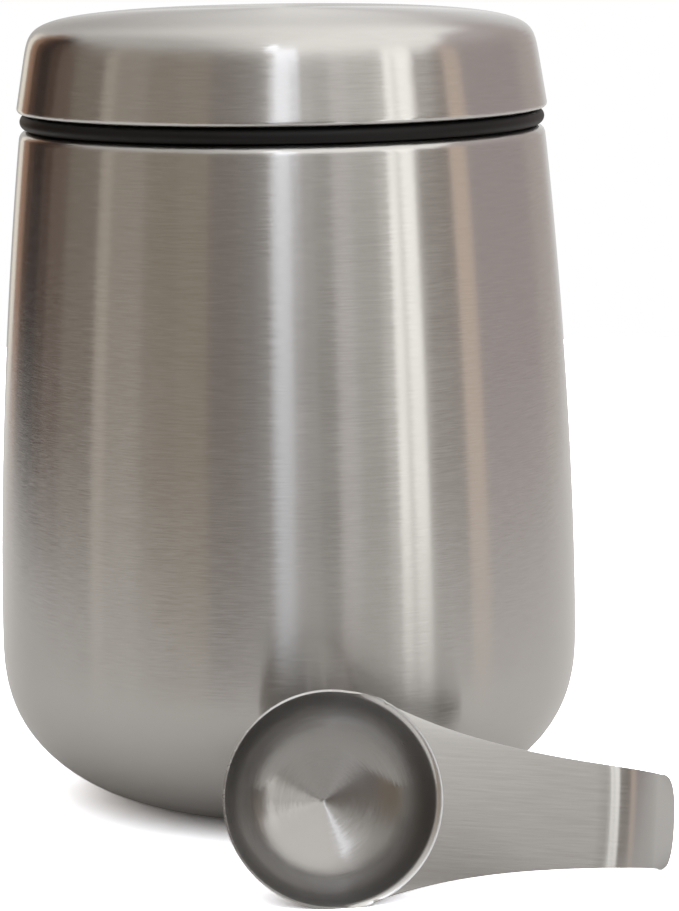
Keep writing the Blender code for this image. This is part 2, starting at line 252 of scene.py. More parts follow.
def lid_profile():
    """The dome from its centre down, round the hem and in along its lip."""
    sweep = np.linspace(0, pi / 2, 90)[:-1]
    height = LID_HEIGHT * np.cos(sweep) ** (2 / DOME_SIDE_POWER)
    dome = np.stack([lid_side_radius(height), height], 1)
    dome = dome[height > LID_HEIGHT / 3]
    hem = (LID_EDGE_RADIUS - HEM_ROLL, HEM_ROLL)
    roll = arc(hem, HEM_ROLL, LID_LEAN, -pi / 2, 12)
    return raised(joined(dome, straight(dome[-1], roll[0], 14), roll,
                         straight(roll[-1], (hem[0] - HEM_LIP, 0), 6)))


def plug_profile():
    """The moulded cup: inside floor and wall, flange, outer wall, foot and underside."""
    flange_floor = LID_SHEET + SEAT_GAP
    flange_top = flange_floor + PLUG_FLANGE
    flange_radius = lid_side_radius(flange_top) - LID_SHEET / cos(LID_LEAN) - SEAT_GAP
    foot_top = -LID_BAND - SEAL_DEPTH
    bottom = foot_top - PLUG_FOOT
    inner = PLUG_RADIUS - PLUG_WALL
    foot_radius = PLUG_RADIUS + PLUG_FOOT_STEP
    corner = (foot_radius - PLUG_ROUND, bottom + PLUG_ROUND)
    return raised(joined(
        straight((0, bottom + PLUG_WALL), (inner, bottom + PLUG_WALL), 8),
        straight((inner, bottom + PLUG_WALL), (inner, flange_top), 8),
        (flange_radius, flange_top), (flange_radius, flange_floor), (PLUG_RADIUS, flange_floor),
        (PLUG_RADIUS, foot_top), (foot_radius, foot_top), arc(corner, PLUG_ROUND, 0, -pi / 2, 8),
        straight((corner[0], bottom), (0, bottom), 24)))


def seal_profile():
    """The ring: collar in the hem, the rounded bead that shows, and two lips in the neck."""
    inner = PLUG_RADIUS + SEAT_GAP
    web = inner + SEAL_WEB
    collar = LID_EDGE_RADIUS - HEM_ROLL - HEM_LIP - SEAT_GAP
    reach = MOUTH_RADIUS - SEAT_GAP
    floor = SEAT_GAP - LID_BAND
    nose = (-SEAT_GAP - floor) / 2
    bead = (LID_EDGE_RADIUS - BEAD_INSET - nose, floor + nose)
    pitch = (SEAL_DEPTH - SEAL_LIP) / 2
    lips = []
    for lip in (1, 2):
        tip = floor - pitch * lip + SEAL_LIP
        lips += [(web, tip), (reach, tip + SEAL_LIP / 2), (reach, tip), (web, tip - SEAL_LIP)]
    return raised(joined((inner, LID_SHEET), (collar, LID_SHEET), (collar, -SEAT_GAP),
                         arc(bead, nose, pi / 2, -pi / 2, 24), (MOUTH_RADIUS + SEAT_GAP, floor),
                         (web, floor - SEAL_LIP), np.array(lips), (inner, floor - SEAL_DEPTH)))


def raised(profile):
    """A profile that was given from the lid's edge plane, at its height in the part."""
    return profile + (0, LID_EDGE_HEIGHT)


# Meshes

def make_mesh(name, points, faces, corner_uv, grain, **shares):
    """A mesh with its brushing map, its grain coordinates and its shares of wear, painted shade and painted
    highlight.
    """
    mesh = bpy.data.meshes.new(name)
    mesh.from_pydata(points.tolist(), [], faces)
    mesh.uv_layers.new(name="brush").data.foreach_set("uv", flat(corner_uv))
    mesh.attributes.new("grain", "FLOAT_VECTOR", "POINT").data.foreach_set("vector", flat(grain))
    for attribute, share in shares.items():
        mesh.attributes.new(attribute, "FLOAT", "POINT").data.foreach_set("value", flat(share))
    mesh.shade_smooth()
    return mesh


def flat(values):
    """One row of single-precision numbers, as foreach_set takes them."""
    return values.astype(np.float32).ravel()


def turned(name, profile, ring=False):
    """Carry a profile round Z: radius * cos, radius * sin, height. A point on the axis is one pole.

    The map's u is the length along the profile, so the brushing's gloss spreads along it. The wear
    is WEAR_RADIUS over the radius of the profile's bend, and at most 1.
    """
    rows = len(profile)
    if ring:
        profile = np.concatenate([profile, profile[:1]])
    length = np.concatenate([[0], np.cumsum(np.hypot(*np.diff(profile, axis=0).T))])
    heading = np.unwrap(np.arctan2(*facing(profile).T))
    bend = np.abs(np.gradient(heading)) / np.maximum(np.gradient(length), LEAST_STEP)
    wear = np.clip(bend * WEAR_RADIUS, 0, 1)[:rows, None]
    angles = 2 * pi * np.arange(TURN_STEPS) / TURN_STEPS
    turn = np.stack([np.cos(angles), np.sin(angles)], 1)
    points = around(profile[:rows, 0], profile[:rows, 1], turn)
    grain = around(np.full(rows, TURNED_GRAIN_RADIUS), length[:rows], turn)
    pole = profile[:rows, :1] <= ON_AXIS
    kept = ~pole | (np.arange(TURN_STEPS) == 0)
    number = np.cumsum(kept).reshape(kept.shape) - 1
    index = np.where(pole, number[:, :1], number)
    if ring:
        index = np.concatenate([index, index[:1]])
    u, v = np.meshgrid(length * MAP_SCALE, np.arange(TURN_STEPS + 1) / TURN_STEPS, indexing="ij")
    faces, corners = with_poles(strip(index, True), grid_uv(u, v))
    edge = np.broadcast_to(wear, kept.shape)
    return make_mesh(name, points[kept], faces, corners, grain[kept], edge=edge[kept])


def around(radii, heights, turn):
    """A row of points for each radius: radius * each direction of turn, at the radius's height."""
    flat_part = radii[:, None, None] * turn
    upright_part = np.broadcast_to(heights[:, None, None], (*flat_part.shape[:2], 1))
    return np.concatenate([flat_part, upright_part], 2)


def with_poles(quads, corners):
    """Faces and their map corners: a quad at a pole is a triangle, and between two poles there is none."""
    at_first = quads[:, 0] == quads[:, 3]
    at_second = quads[:, 1] == quads[:, 2]
    kinds = ((~at_first & ~at_second, [0, 1, 2, 3]), (at_first & ~at_second, [1, 2, 3]),
             (at_second & ~at_first, [0, 1, 3]))
    faces = sum((quads[chosen][:, order].tolist() for chosen, order in kinds), [])
    return faces, np.concatenate([corners[chosen][:, order].reshape(-1, 2) for chosen, order in kinds])


def bowl_section():
    """The scoop's skin from the middle of the floor to the start of the ridge's roll."""
    rim = SCOOP_RIM_RADIUS - SCOOP_SHEET * cos(SCOOP_TAPER)
    floor_radius = rim - SCOOP_WALL_DEPTH * tan(SCOOP_TAPER)
    slope = atan2(SCOOP_DEPTH - SCOOP_WALL_DEPTH, floor_radius)
    setback = SCOOP_CORNER / tan((pi / 2 + SCOOP_TAPER + slope) / 2)
    cone_end = (floor_radius - setback * cos(slope), -SCOOP_WALL_DEPTH - setback * sin(slope))
    corner = (cone_end[0] - SCOOP_CORNER * sin(slope), cone_end[1] + SCOOP_CORNER * cos(slope))
    drop = RIDGE_ROLL * (1 - sin(SCOOP_TAPER))
    wall_end = (rim - drop * tan(SCOOP_TAPER), -drop)
    turn = arc(corner, SCOOP_CORNER, slope - pi / 2, -SCOOP_TAPER, 36)
    return joined(straight((0, -SCOOP_DEPTH), cone_end, 16), turn, straight(turn[-1], wall_end, 6)), rim


def handle_stretches(crest):
    """Stretches of the handle's middle: (length, radius or None where straight, first slope)."""
    level = RIDGE_ROLL * sin(HANDLE_SLOPE) + crest
    return ((RIDGE_ROLL * HANDLE_SLOPE, RIDGE_ROLL, 0.0),
            ((HANDLE_BEND_START - level) / cos(HANDLE_SLOPE), None, HANDLE_SLOPE),
            (HANDLE_BEND_RADIUS * (HANDLE_END_SLOPE - HANDLE_SLOPE), HANDLE_BEND_RADIUS, HANDLE_SLOPE),
            (HANDLE_END, None, HANDLE_END_SLOPE))


def handle_place(crest, length):
    """Reach and fall of the handle's middle at lengths along its sheet, stretch after stretch.

    On a straight stretch they grow by cos and sin of its slope. On a bend they grow by the radius
    times the change of sin and of -cos of the slope.
    """
    reach, fall, left = np.full_like(length, crest), np.zeros_like(length), length
    for stretch, radius, slope in handle_stretches(crest):
        run = np.minimum(left, stretch)
        if radius is None:
            reach, fall = reach + run * cos(slope), fall + run * sin(slope)
        else:
            turn = slope + run / radius
            reach = reach + radius * (np.sin(turn) - sin(slope))
            fall = fall + radius * (cos(slope) - np.cos(turn))
        left = left - run
    return reach, fall


def handle_rows(crest, shares):
    """Rows across the handle, from shares across it of -1 to 1.

    The half width falls to the handle's as e^(-reach). A row bulges as an arc of the rim, less along
    the handle as e^(-length). At the tip the rows end on a superellipse of HANDLE_TIP_POWER.
    """
    stretches = [stretch[0] for stretch in handle_stretches(crest)]
    ends = np.cumsum([0] + stretches)
    length = joined(*[np.stack([np.linspace(a, b, count), np.zeros(count)], 1)
                      for a, b, count in zip(ends, ends[1:], HANDLE_STRETCH_ROWS)])[1:, :1]
    whole = ends[-1]
    root_reach, root_half = crest * cos(HANDLE_ROOT_ANGLE), crest * sin(HANDLE_ROOT_ANGLE)
    fade = (root_half - HANDLE_HALF_WIDTH) * tan(HANDLE_ROOT_ANGLE)
    bulge = (crest - root_reach) * np.exp(-length / HANDLE_ROOT_SPREAD)
    tip = HANDLE_TIP * np.maximum(0, 1 - (whole - length) / (2 * HANDLE_TIP)) ** 2
    edge_reach = handle_place(crest, length - tip)[0] - bulge
    half = HANDLE_HALF_WIDTH + (root_half - HANDLE_HALF_WIDTH) * np.exp((root_reach - edge_reach) / fade)
    across = np.sin(HANDLE_ROOT_ANGLE * shares) / sin(HANDLE_ROOT_ANGLE)
    back = (1 - np.cos(HANDLE_ROOT_ANGLE * shares)) / (1 - cos(HANDLE_ROOT_ANGLE))
    left = np.maximum(0, 1 - np.abs(across) ** HANDLE_TIP_POWER) ** (1 / HANDLE_TIP_POWER)
    reach, fall = handle_place(crest, length - tip * (1 - left))
    points = np.stack([reach - bulge * back, half * across, -fall], 2)
    side = np.full_like(half * across, HANDLE_GRAIN_SIDE)
    grain = np.stack([length + 0 * across, side, points[:, :, 1]], 2)
    return points, grain


def strip(index, closed):
    """Quads between each two rows of an index grid."""
    if closed:
        index = np.concatenate([index, index[:, :1]], 1)
    return np.stack([index[:-1, :-1], index[1:, :-1], index[1:, 1:], index[:-1, 1:]], 2).reshape(-1, 4)


def grid_uv(u, v):
    """Corner coordinates for the quads of strip(), from a grid of each coordinate."""
    grid = np.stack([u, v], 2)
    return np.stack([grid[:-1, :-1], grid[1:, :-1], grid[1:, 1:], grid[:-1, 1:]], 2).reshape(-1, 4, 2)


def bowl_rings(section, rim, angles):
    """The bowl's section at each angle: its skin, then the rim, rolled over towards the handle.

    Each point of the rim is plain + (rolled - plain) * share. The share is 1 along the handle's root,
    and falls as 1 - 3x^2 + 2x^3 over the angle RIDGE_FADE. The crest is the roll's last radius.
    """
    from_handle = np.abs((angles + pi) % (2 * pi) - pi)
    past = np.clip((from_handle - HANDLE_ROOT_ANGLE) / RIDGE_FADE, 0, 1)
    share = 1 - past * past * (3 - 2 * past)
    start = section[-1]
    centre = (start[0] + RIDGE_ROLL * cos(SCOOP_TAPER), start[1] - RIDGE_ROLL * sin(SCOOP_TAPER))
    rolled = arc(centre, RIDGE_ROLL, pi - SCOOP_TAPER, pi / 2, RIDGE_POINTS)[1:]
    plain = straight(start, (rim, 0), RIDGE_POINTS)[1:]
    ridge = plain[:, None] + (rolled - plain)[:, None] * share[None, :, None]
    skin = np.repeat(section[1:, None], len(angles), 1)
    return np.concatenate([skin, ridge]), share, rolled[-1][0]


def scoop_mesh():
    """The scoop's skin: rings of the bowl turned round its axis, then rows across the handle.

    The edge share is 1 inside the bowl and falls to 0 up the ridge; there it is a painted shade, darker
    steel in the hollow. The painted highlight along the ridge's crest is sin to its power across the
    ridge, times its share of roll.
    """
    section, rim = bowl_section()
    shares = np.linspace(-1, 1, HANDLE_STEPS + 1)
    opening = np.linspace(HANDLE_ROOT_ANGLE, 2 * pi - HANDLE_ROOT_ANGLE, BOWL_STEPS + 1)[1:-1]
    angles = np.concatenate([HANDLE_ROOT_ANGLE * shares, opening])
    rings, rolled_share, crest = bowl_rings(section, rim, angles)
    turn = np.stack([np.cos(angles), np.sin(angles)], 1)
    bowl = np.concatenate([rings[:, :, :1] * turn, rings[:, :, 1:]], 2)
    first = np.broadcast_to(section[:1], (1, len(angles), 2))
    run = np.cumsum(np.hypot(*np.diff(rings, axis=0, prepend=first).transpose(2, 0, 1)), 0)
    bowl_grain = np.concatenate([np.broadcast_to(BOWL_GRAIN_RADIUS * turn, bowl[:, :, :2].shape),
                                 run[:, :, None]], 2)
    handle, handle_grain = handle_rows(crest, shares)

    bowl_index = 1 + np.arange(bowl[:, :, 0].size).reshape(bowl.shape[:2])
    handle_index = bowl_index.max() + 1 + np.arange(handle[:, :, 0].size).reshape(handle.shape[:2])
    handle_index = np.concatenate([bowl_index[-1:, :HANDLE_STEPS + 1], handle_index])
    ring = bowl_index[0]
    fan = np.stack([np.zeros_like(ring), ring, np.roll(ring, -1)], 1)
    faces = fan.tolist() + strip(bowl_index, True).tolist() + strip(handle_index, False).tolist()

    seam = np.concatenate([angles, [angles[0] + 2 * pi]]) / (2 * pi)
    bowl_u = np.concatenate([run, run[:, :1]], 1) * MAP_SCALE
    middle = seam[:-1] + np.diff(seam) / 2
    fan_uv = np.stack([np.stack([0 * middle, middle], 1), np.stack([bowl_u[0, :-1], seam[:-1]], 1),
                       np.stack([bowl_u[0, 1:], seam[1:]], 1)], 1)
    bowl_uv = grid_uv(bowl_u, np.broadcast_to(seam, bowl_u.shape))
    across = np.concatenate([bowl[-1:, :HANDLE_STEPS + 1, 1], handle[:, :, 1]])
    along = np.concatenate([np.zeros((1, HANDLE_STEPS + 1)), handle_grain[:, :, 0]])
    handle_uv = grid_uv(across * MAP_SCALE, along * MAP_SCALE)
    uv = np.concatenate([part.reshape(-1, 2) for part in (fan_uv, bowl_uv, handle_uv)])

    points = np.concatenate([[[0, 0, section[0][1]]], bowl.reshape(-1, 3), handle.reshape(-1, 3)])
    grain = np.concatenate([[[BOWL_GRAIN_RADIUS, 0, 0]], bowl_grain.reshape(-1, 3),
                            handle_grain.reshape(-1, 3)])
    on_handle = np.zeros(handle[:, :, 0].size)
    # Edge share: 1 inside the bowl, where it paints the steel darker as a painted shade in the hollow
    inside = np.clip(rings[:, :, 1] / section[-1][1], 0, 1)
    crossing = np.linspace(0, 1, RIDGE_POINTS + 1)[1:-1, None]
    # Share of the painted highlight of lighter steel along the ridge's crest
    ridge_rub = np.sin(pi * crossing) ** CREST_HIGHLIGHT_POWER * rolled_share
    on_skin = np.zeros(1 + (len(section) - 1) * len(angles))
    return make_mesh("scoop", points, faces, uv, grain, edge=np.concatenate([[1], inside.ravel(), on_handle]),
                     rub=np.concatenate([on_skin, ridge_rub.ravel(), on_handle]))


def rounded_sheet(thing, near, far):
    """Give an open skin its sheet, between two depths behind it, and round its edges."""
    wall = thing.modifiers.new("sheet", "SOLIDIFY")
    wall.thickness = far - near
    wall.offset = -1 - 2 * near / (far - near)
    wall.use_even_offset = True
    wall.material_offset_rim = 1
    round_off = thing.modifiers.new("edge", "BEVEL")
    round_off.width = SCOOP_EDGE_ROUND
    round_off.segments = 4
    round_off.limit_method = "ANGLE"
    round_off.angle_limit = SCOOP_EDGE_ANGLE
    round_off.use_clamp_overlap = True


def add_piece(name, mesh, material, body, slot, *nodes):
    """Put a piece in the scene in place of CAD nodes, on its body. The slot is not used."""
    mesh.materials.append(material)
    thing = bpy.data.objects.new(name, mesh)
    bpy.context.scene.collection.objects.link(thing)
    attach(thing, body)
    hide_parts(*nodes)
    return thing


# Materials

def new_tree(material_name):
    """A material with an empty node tree but for its output."""
    material = bpy.data.materials.new(material_name)
    material.use_nodes = True
    tree = material.node_tree
    tree.nodes.clear()
    return material, tree, tree.nodes.new("ShaderNodeOutputMaterial")


def connect(tree, made, inputs):
    """Set a node's inputs: each is a value, or a socket to link from."""
    for key, value in inputs.items():
        if isinstance(value, bpy.types.NodeSocket):
            tree.links.new(value, made.inputs[key])
        else:
            made.inputs[key].default_value = value


def node(tree, kind, inputs=None, **settings):
    """A node of a kind with its settings and inputs."""
    made = tree.nodes.new("ShaderNode" + kind)
    for key, value in settings.items():
        setattr(made, key, value)
    connect(tree, made, inputs or {})
    return made


def math(tree, operation, *values):
    """The result of a Math node."""
    return node(tree, "Math", dict(enumerate(values)), operation=operation).outputs[0]


def stepped(tree, value, low, high, to_low=0.0, to_high=1.0, kind="SMOOTHSTEP"):
    """A value mapped from one range to another, with soft ends unless another kind is given."""
    return node(tree, "MapRange", {"Value": value, "From Min": low, "From Max": high, "To Min": to_low,
                                   "To Max": to_high}, interpolation_type=kind).outputs["Result"]


def mixed(tree, share, first, second):
    """Two colours mixed by a share."""
    return node(tree, "Mix", {0: share, 6: first, 7: second}, data_type="RGBA").outputs[2]


def toned(colour, factor=1.0):
    """A colour made lighter or darker, with its alpha."""
    return (*[channel * factor for channel in colour], 1)


def new_group(name, inputs, outputs):
    """A shader node group with named inputs and outputs."""
    tree = bpy.data.node_groups.new(name, "ShaderNodeTree")
    for socket, kind, value in inputs:
        made = tree.interface.new_socket(socket, in_out="INPUT", socket_type="NodeSocket" + kind)
        if value is not None:
            made.default_value = value
    for socket, kind in outputs:
        tree.interface.new_socket(socket, in_out="OUTPUT", socket_type="NodeSocket" + kind)
    return tree, tree.nodes.new("NodeGroupInput"), tree.nodes.new("NodeGroupOutput")


def brushing_group():
    """Brush lines: noise stretched along the grain's first two coordinates, fine across the third."""
    tree, given, out = new_group("brush_lines", [
        ("Grain", "Vector", None), ("Line length", "Float", 0.02), ("Line width", "Float", 0.0004)],
        [("Lines", "Float"), ("Fine lines", "Float"), ("Cloud", "Float")])
    parts = node(tree, "SeparateXYZ", {0: given.outputs["Grain"]})
    along_x = math(tree, "DIVIDE", parts.outputs[0], given.outputs["Line length"])
    along_y = math(tree, "DIVIDE", parts.outputs[1], given.outputs["Line length"])
    across = math(tree, "DIVIDE", parts.outputs[2], given.outputs["Line width"])
    place = node(tree, "CombineXYZ", {0: along_x, 1: along_y, 2: across}).outputs[0]
    lines = node(tree, "TexNoise", {"Vector": place, "Scale": 1.0, "Detail": 3.0, "Roughness": 0.6})
    fine_place = node(tree, "VectorMath", {0: place, 1: (1.7, 1.7, 4.3)}, operation="MULTIPLY").outputs[0]
    fine = node(tree, "TexNoise", {"Vector": fine_place, "Scale": 1.0, "Detail": 2.0, "Roughness": 0.5})
    cloud = node(tree, "TexNoise", {"Vector": given.outputs["Grain"], "Scale": 38.0, "Detail": 3.0})
    for socket, value in (("Lines", lines), ("Fine lines", fine), ("Cloud", cloud)):
        tree.links.new(value.outputs[0], out.inputs[socket])
    return tree


def steel_material(name, brushing, plain, second, line, tilt, skew):
    """Brushed steel whose lines follow the grain and whose gloss spreads across them.

    Plain and second are each a colour and a roughness, and the second shows where the mesh's "edge"
    attribute says: worn bends on the turned pieces, and on the scoop a painted shade, darker steel in its
    bowl. The line is its length and its width. Each line tilts the surface a little along the tangent,
    which points across the brushing, and skews it along the line.
    """
    material, tree, out = new_tree(name)
    grain = node(tree, "Attribute", attribute_name="grain").outputs["Vector"]
    edge = node(tree, "Attribute", attribute_name="edge").outputs["Fac"]
    rub = node(tree, "Attribute", attribute_name="rub").outputs["Fac"]
    brushed = node(tree, "Group", {}, node_tree=brushing)
    connect(tree, brushed, {"Grain": grain, "Line length": line[0], "Line width": line[1]})
    lines = brushed.outputs

    # Colour: dark and light lines, of more contrast where the second steel shows, and a painted highlight on
    # the ridge
    tone = math(tree, "ADD", math(tree, "MULTIPLY", lines["Lines"], 0.6),
                math(tree, "MULTIPLY", lines["Fine lines"], 0.4))
    spread = stepped(tree, edge, 0.0, 1.0, 0.7, 1.6, "LINEAR")
    from_middle = math(tree, "SUBTRACT", stepped(tree, tone, 0.3, 0.7), 0.5)
    share = math(tree, "MULTIPLY_ADD", from_middle, spread, 0.5)
    base = mixed(tree, share, toned(plain[0], 0.95), toned(plain[0], 1.05))
    # The second steel: worn bends on the turned pieces; on the scoop, painted shade in the bowl
    base = mixed(tree, edge, base, toned(second[0]))
    # Painted highlight: lighter steel along the scoop's ridge crest
    base = mixed(tree, rub, base, CREST_HIGHLIGHT_STEEL)

    # Roughness: that of the two steels, with a little from the lines and from the cloud
    rough = math(tree, "ADD", stepped(tree, tone, 0.3, 0.7, -0.02, 0.02),
                 stepped(tree, lines["Cloud"], 0.35, 0.65, -0.010, 0.010))
    rough = math(tree, "ADD", rough, stepped(tree, edge, 0.0, 1.0, plain[1], second[1], "LINEAR"))

    # Relief: normal + tangent * lean + beside * turn, both larger where the second steel shows
    tangent = node(tree, "Tangent", direction_type="UV_MAP", uv_map="brush").outputs[0]
    facing_out = node(tree, "NewGeometry").outputs["Normal"]
    beside = node(tree, "VectorMath", {0: facing_out, 1: tangent}, operation="CROSS_PRODUCT").outputs[0]
    lean = stepped(tree, lines["Fine lines"], 0.2, 0.8, -tilt, tilt, "LINEAR")
    lean = math(tree, "MULTIPLY", lean, math(tree, "MULTIPLY_ADD", edge, 2.0, 1.0))
    turn = stepped(tree, lines["Lines"], 0.25, 0.75, -skew, skew, "LINEAR")
    turn = math(tree, "MULTIPLY", turn, math(tree, "MULTIPLY_ADD", edge, 8.0, 1.0))
    normal = facing_out
    for direction, amount in ((tangent, lean), (beside, turn)):
        push = node(tree, "VectorMath", {0: direction, "Scale": amount}, operation="SCALE").outputs[0]
        normal = node(tree, "VectorMath", {0: normal, 1: push}, operation="ADD").outputs[0]
    normal = node(tree, "VectorMath", {0: normal}, operation="NORMALIZE").outputs[0]

    shader = node(tree, "BsdfPrincipled", {
        "Base Color": base, "Metallic": 1.0, "Roughness": rough, "Anisotropic": 1.0,
        "Normal": normal, "Tangent": tangent})
    tree.links.new(shader.outputs[0], out.inputs["Surface"])
    return material


def polished_material(name, colour, roughness):
    """Steel rubbed smooth along an edge, with a faint cloud in its tone and its gloss."""
    material, tree, out = new_tree(name)
    place = node(tree, "TexCoord").outputs["Object"]
    cloud = node(tree, "TexNoise", {"Vector": place, "Scale": 700.0, "Detail": 3.0}).outputs[0]
    base = mixed(tree, cloud, toned(colour, 0.92), toned(colour, 1.08))
    rough = stepped(tree, cloud, 0.3, 0.7, roughness - 0.05, roughness + 0.05)
    shader = node(tree, "BsdfPrincipled", {"Base Color": base, "Metallic": 1.0, "Roughness": rough})
    tree.links.new(shader.outputs[0], out.inputs["Surface"])
    return material


def moulded_material(name, colour, roughness, grain_size, relief, gloss=0.5):
    """A matt moulded black: fine texture in its relief, a faint cloud in its tone and roughness."""
    material, tree, out = new_tree(name)
    place = node(tree, "TexCoord").outputs["Object"]
    grain = node(tree, "TexNoise", {"Vector": place, "Scale": 1 / grain_size, "Detail": 2.0}).outputs[0]
    cloud = node(tree, "TexNoise", {"Vector": place, "Scale": 60.0, "Detail": 3.0}).outputs[0]
    base = mixed(tree, cloud, toned(colour, 0.8), toned(colour, 1.25))
    rough = stepped(tree, cloud, 0.3, 0.7, roughness - 0.04, roughness + 0.04)
    bump = node(tree, "Bump", {"Strength": 0.6, "Distance": relief, "Height": grain}).outputs[0]
    shader = node(tree, "BsdfPrincipled", {"Base Color": base, "Roughness": rough, "Normal": bump,
                                           "Specular IOR Level": gloss})
    tree.links.new(shader.outputs[0], out.inputs["Surface"])
    return material


# Studio

# Panels are given in degrees. Azimuth 0 is the camera's side, and it grows towards the camera's right.
# Each panel covers those before it, and the softness of its sides lies half within them.

# Lowest elevation and softness of a foot that never shows, since it is past straight down
HIDDEN_FOOT = (-120, 10)

# Overhead: its tones to the camera's left and right, and the x of the direction where the blend of them
# starts and ends
OVERHEAD = ((0.64, 0.62, 0.59), (1.29, 1.27, 1.23), -0.55, 0.18)

# The screen at the right, whose top is an arch: first and last azimuth, softness of the sides, highest
# elevation, its fall in radians for each square radian from the middle, softness of the top, tone
SCREEN = (66, 180, 8, 45, 0.62, 9, (0.655, 0.60, 0.58))

# Walls round the object: first and last azimuth, softness of the sides, elevation up to which the wall
# is whole, softness of the top, tone
WALLS = (
    (-140, -8, 8, 2, 46, (0.26, 0.225, 0.185)),
    (-10, 6, 3, -3, 11, (0.60, 0.62, 0.66)),
    (2, 62, 8, 0, 30, (0.50, 0.48, 0.45)),
    (58, 80, 6, 8, 14, (0.47, 0.43, 0.40)),
    (76, 172, 10, 8, 36, (0.485, 0.425, 0.415)),
    (130, 178, 14, 8, 30, (0.55, 0.49, 0.46)),
    (158, 190, 22, 14, 14, (0.72, 0.71, 0.70)),
    (175, 186, 6, 10, 14, (0.84, 0.83, 0.82)),
    (-177, -159, 8, 12, 30, (0.50, 0.48, 0.46)),
    (-162.2, -152.5, 3, 10, 12, (0.95, 0.88, 0.77)),
    (-153, -143, 3, 26, 10, (0.36, 0.21, 0.137)),
    (-144, -136, 4, 28, 10, (0.095, 0.052, 0.032)),
    (-137, -124, 4, 28, 12, (0.048, 0.032, 0.026)),
    (-125, -116, 5, 24, 14, (0.10, 0.064, 0.048)),
    (-117, -103, 6, 8, 40, (0.178, 0.13, 0.102)),
    (-104, -84, 8, 0, 40, (0.25, 0.207, 0.165)),
    (-84.5, -77, 4, 4, 50, (0.53, 0.465, 0.39)),
    (-77, -60, 4, 2, 42, (0.395, 0.345, 0.285)),
    (-60, -46, 5, 2, 44, (0.325, 0.275, 0.217)),
    (-46, -31, 5, 2, 44, (0.35, 0.30, 0.238)),
    (-31, -18, 5, 0, 44, (0.25, 0.214, 0.195)),
    (-19, -11, 5, 0, 42, (0.285, 0.258, 0.242)),
    (-12, -5, 5, 0, 40, (0.33, 0.312, 0.298)),
    (3.5, 12, 4, 3, 28, (0.40, 0.383, 0.365)),
    (12, 21, 4, 3, 30, (0.335, 0.316, 0.292)),
    (21, 27.5, 4, 3, 30, (0.565, 0.527, 0.497)),
    (27.5, 45, 4, 3, 30, (0.50, 0.48, 0.448)),
    (40, 62, 4, 14, 16, (0.72, 0.695, 0.66)),
    (76, 86, 4, 10, 30, (0.78, 0.635, 0.53)),
)

# Patches in front of the walls: first and last azimuth, softness of the sides, lowest elevation,
# softness of the foot, elevation up to which the patch is whole, softness of the top, tone
PATCHES = (
    (58, 76, 3, -10, 12, 12, 12, (0.31, 0.272, 0.24)),
    (45.0, 57.5, 1.5, -45, 30, 9, 4, (1.55, 1.53, 1.48)),
    (46.4, 60.8, 1.5, 9, 4, 20, 14, (1.72, 1.70, 1.65)),
    (49.2, 51.4, 2, -110, 10, 15, 8, (1.0, 0.98, 0.94)),
    (-5.8, 3.0, 1.5, 1, 12, 11, 5, (1.42, 1.47, 1.58)),
    (-3.2, 7.6, 1.8, 12, 5, 34, 22, (1.84, 1.89, 2.0)),
    (-8.2, -2.0, 1.5, 37, 8, 55, 10, (2.4, 2.45, 2.6)),
    (22, 30, 3, -44, 20, -14, 4, (1.10, 1.10, 1.13)),
)


def panel_group():
    """One panel: a soft-edged stretch of azimuth and elevation through which its tone shows.

    The share is side * above * below. The top falls by Arch * (azimuth from the centre)^2.
    """
    floats = (("Azimuth", 0), ("Elevation", 0), ("Centre", 0), ("Half width", 0.1), ("Softness", 0.05),
              ("Lowest", -2), ("Foot softness", 0.1), ("Highest", 2), ("Arch", 0), ("Top softness", 0.1))
    tree, given, out = new_group(
        "studio_panel", [("Behind", "Color", None), *[(name, "Float", value) for name, value in floats],
                         ("Tone", "Color", None)], [("Colour", "Color")])
    part = given.outputs
    from_centre = math(tree, "SUBTRACT", part["Azimuth"], part["Centre"])
    away = math(tree, "ABSOLUTE", math(tree, "WRAP", from_centre, -pi, pi))
    half_soft = math(tree, "MULTIPLY", part["Softness"], 0.5)
    side = stepped(tree, away, math(tree, "SUBTRACT", part["Half width"], half_soft),
                   math(tree, "ADD", part["Half width"], half_soft), 1, 0)
    foot = math(tree, "ADD", part["Lowest"], part["Foot softness"])
    above = stepped(tree, part["Elevation"], part["Lowest"], foot)
    fall = math(tree, "MULTIPLY", part["Arch"], math(tree, "MULTIPLY", away, away))
    top = math(tree, "SUBTRACT", part["Highest"], fall)
    below = stepped(tree, part["Elevation"], top, math(tree, "ADD", top, part["Top softness"]), 1, 0)
    share = math(tree, "MULTIPLY", side, math(tree, "MULTIPLY", above, below))
    tree.links.new(mixed(tree, share, part["Behind"], part["Tone"]), out.inputs[0])
    return tree


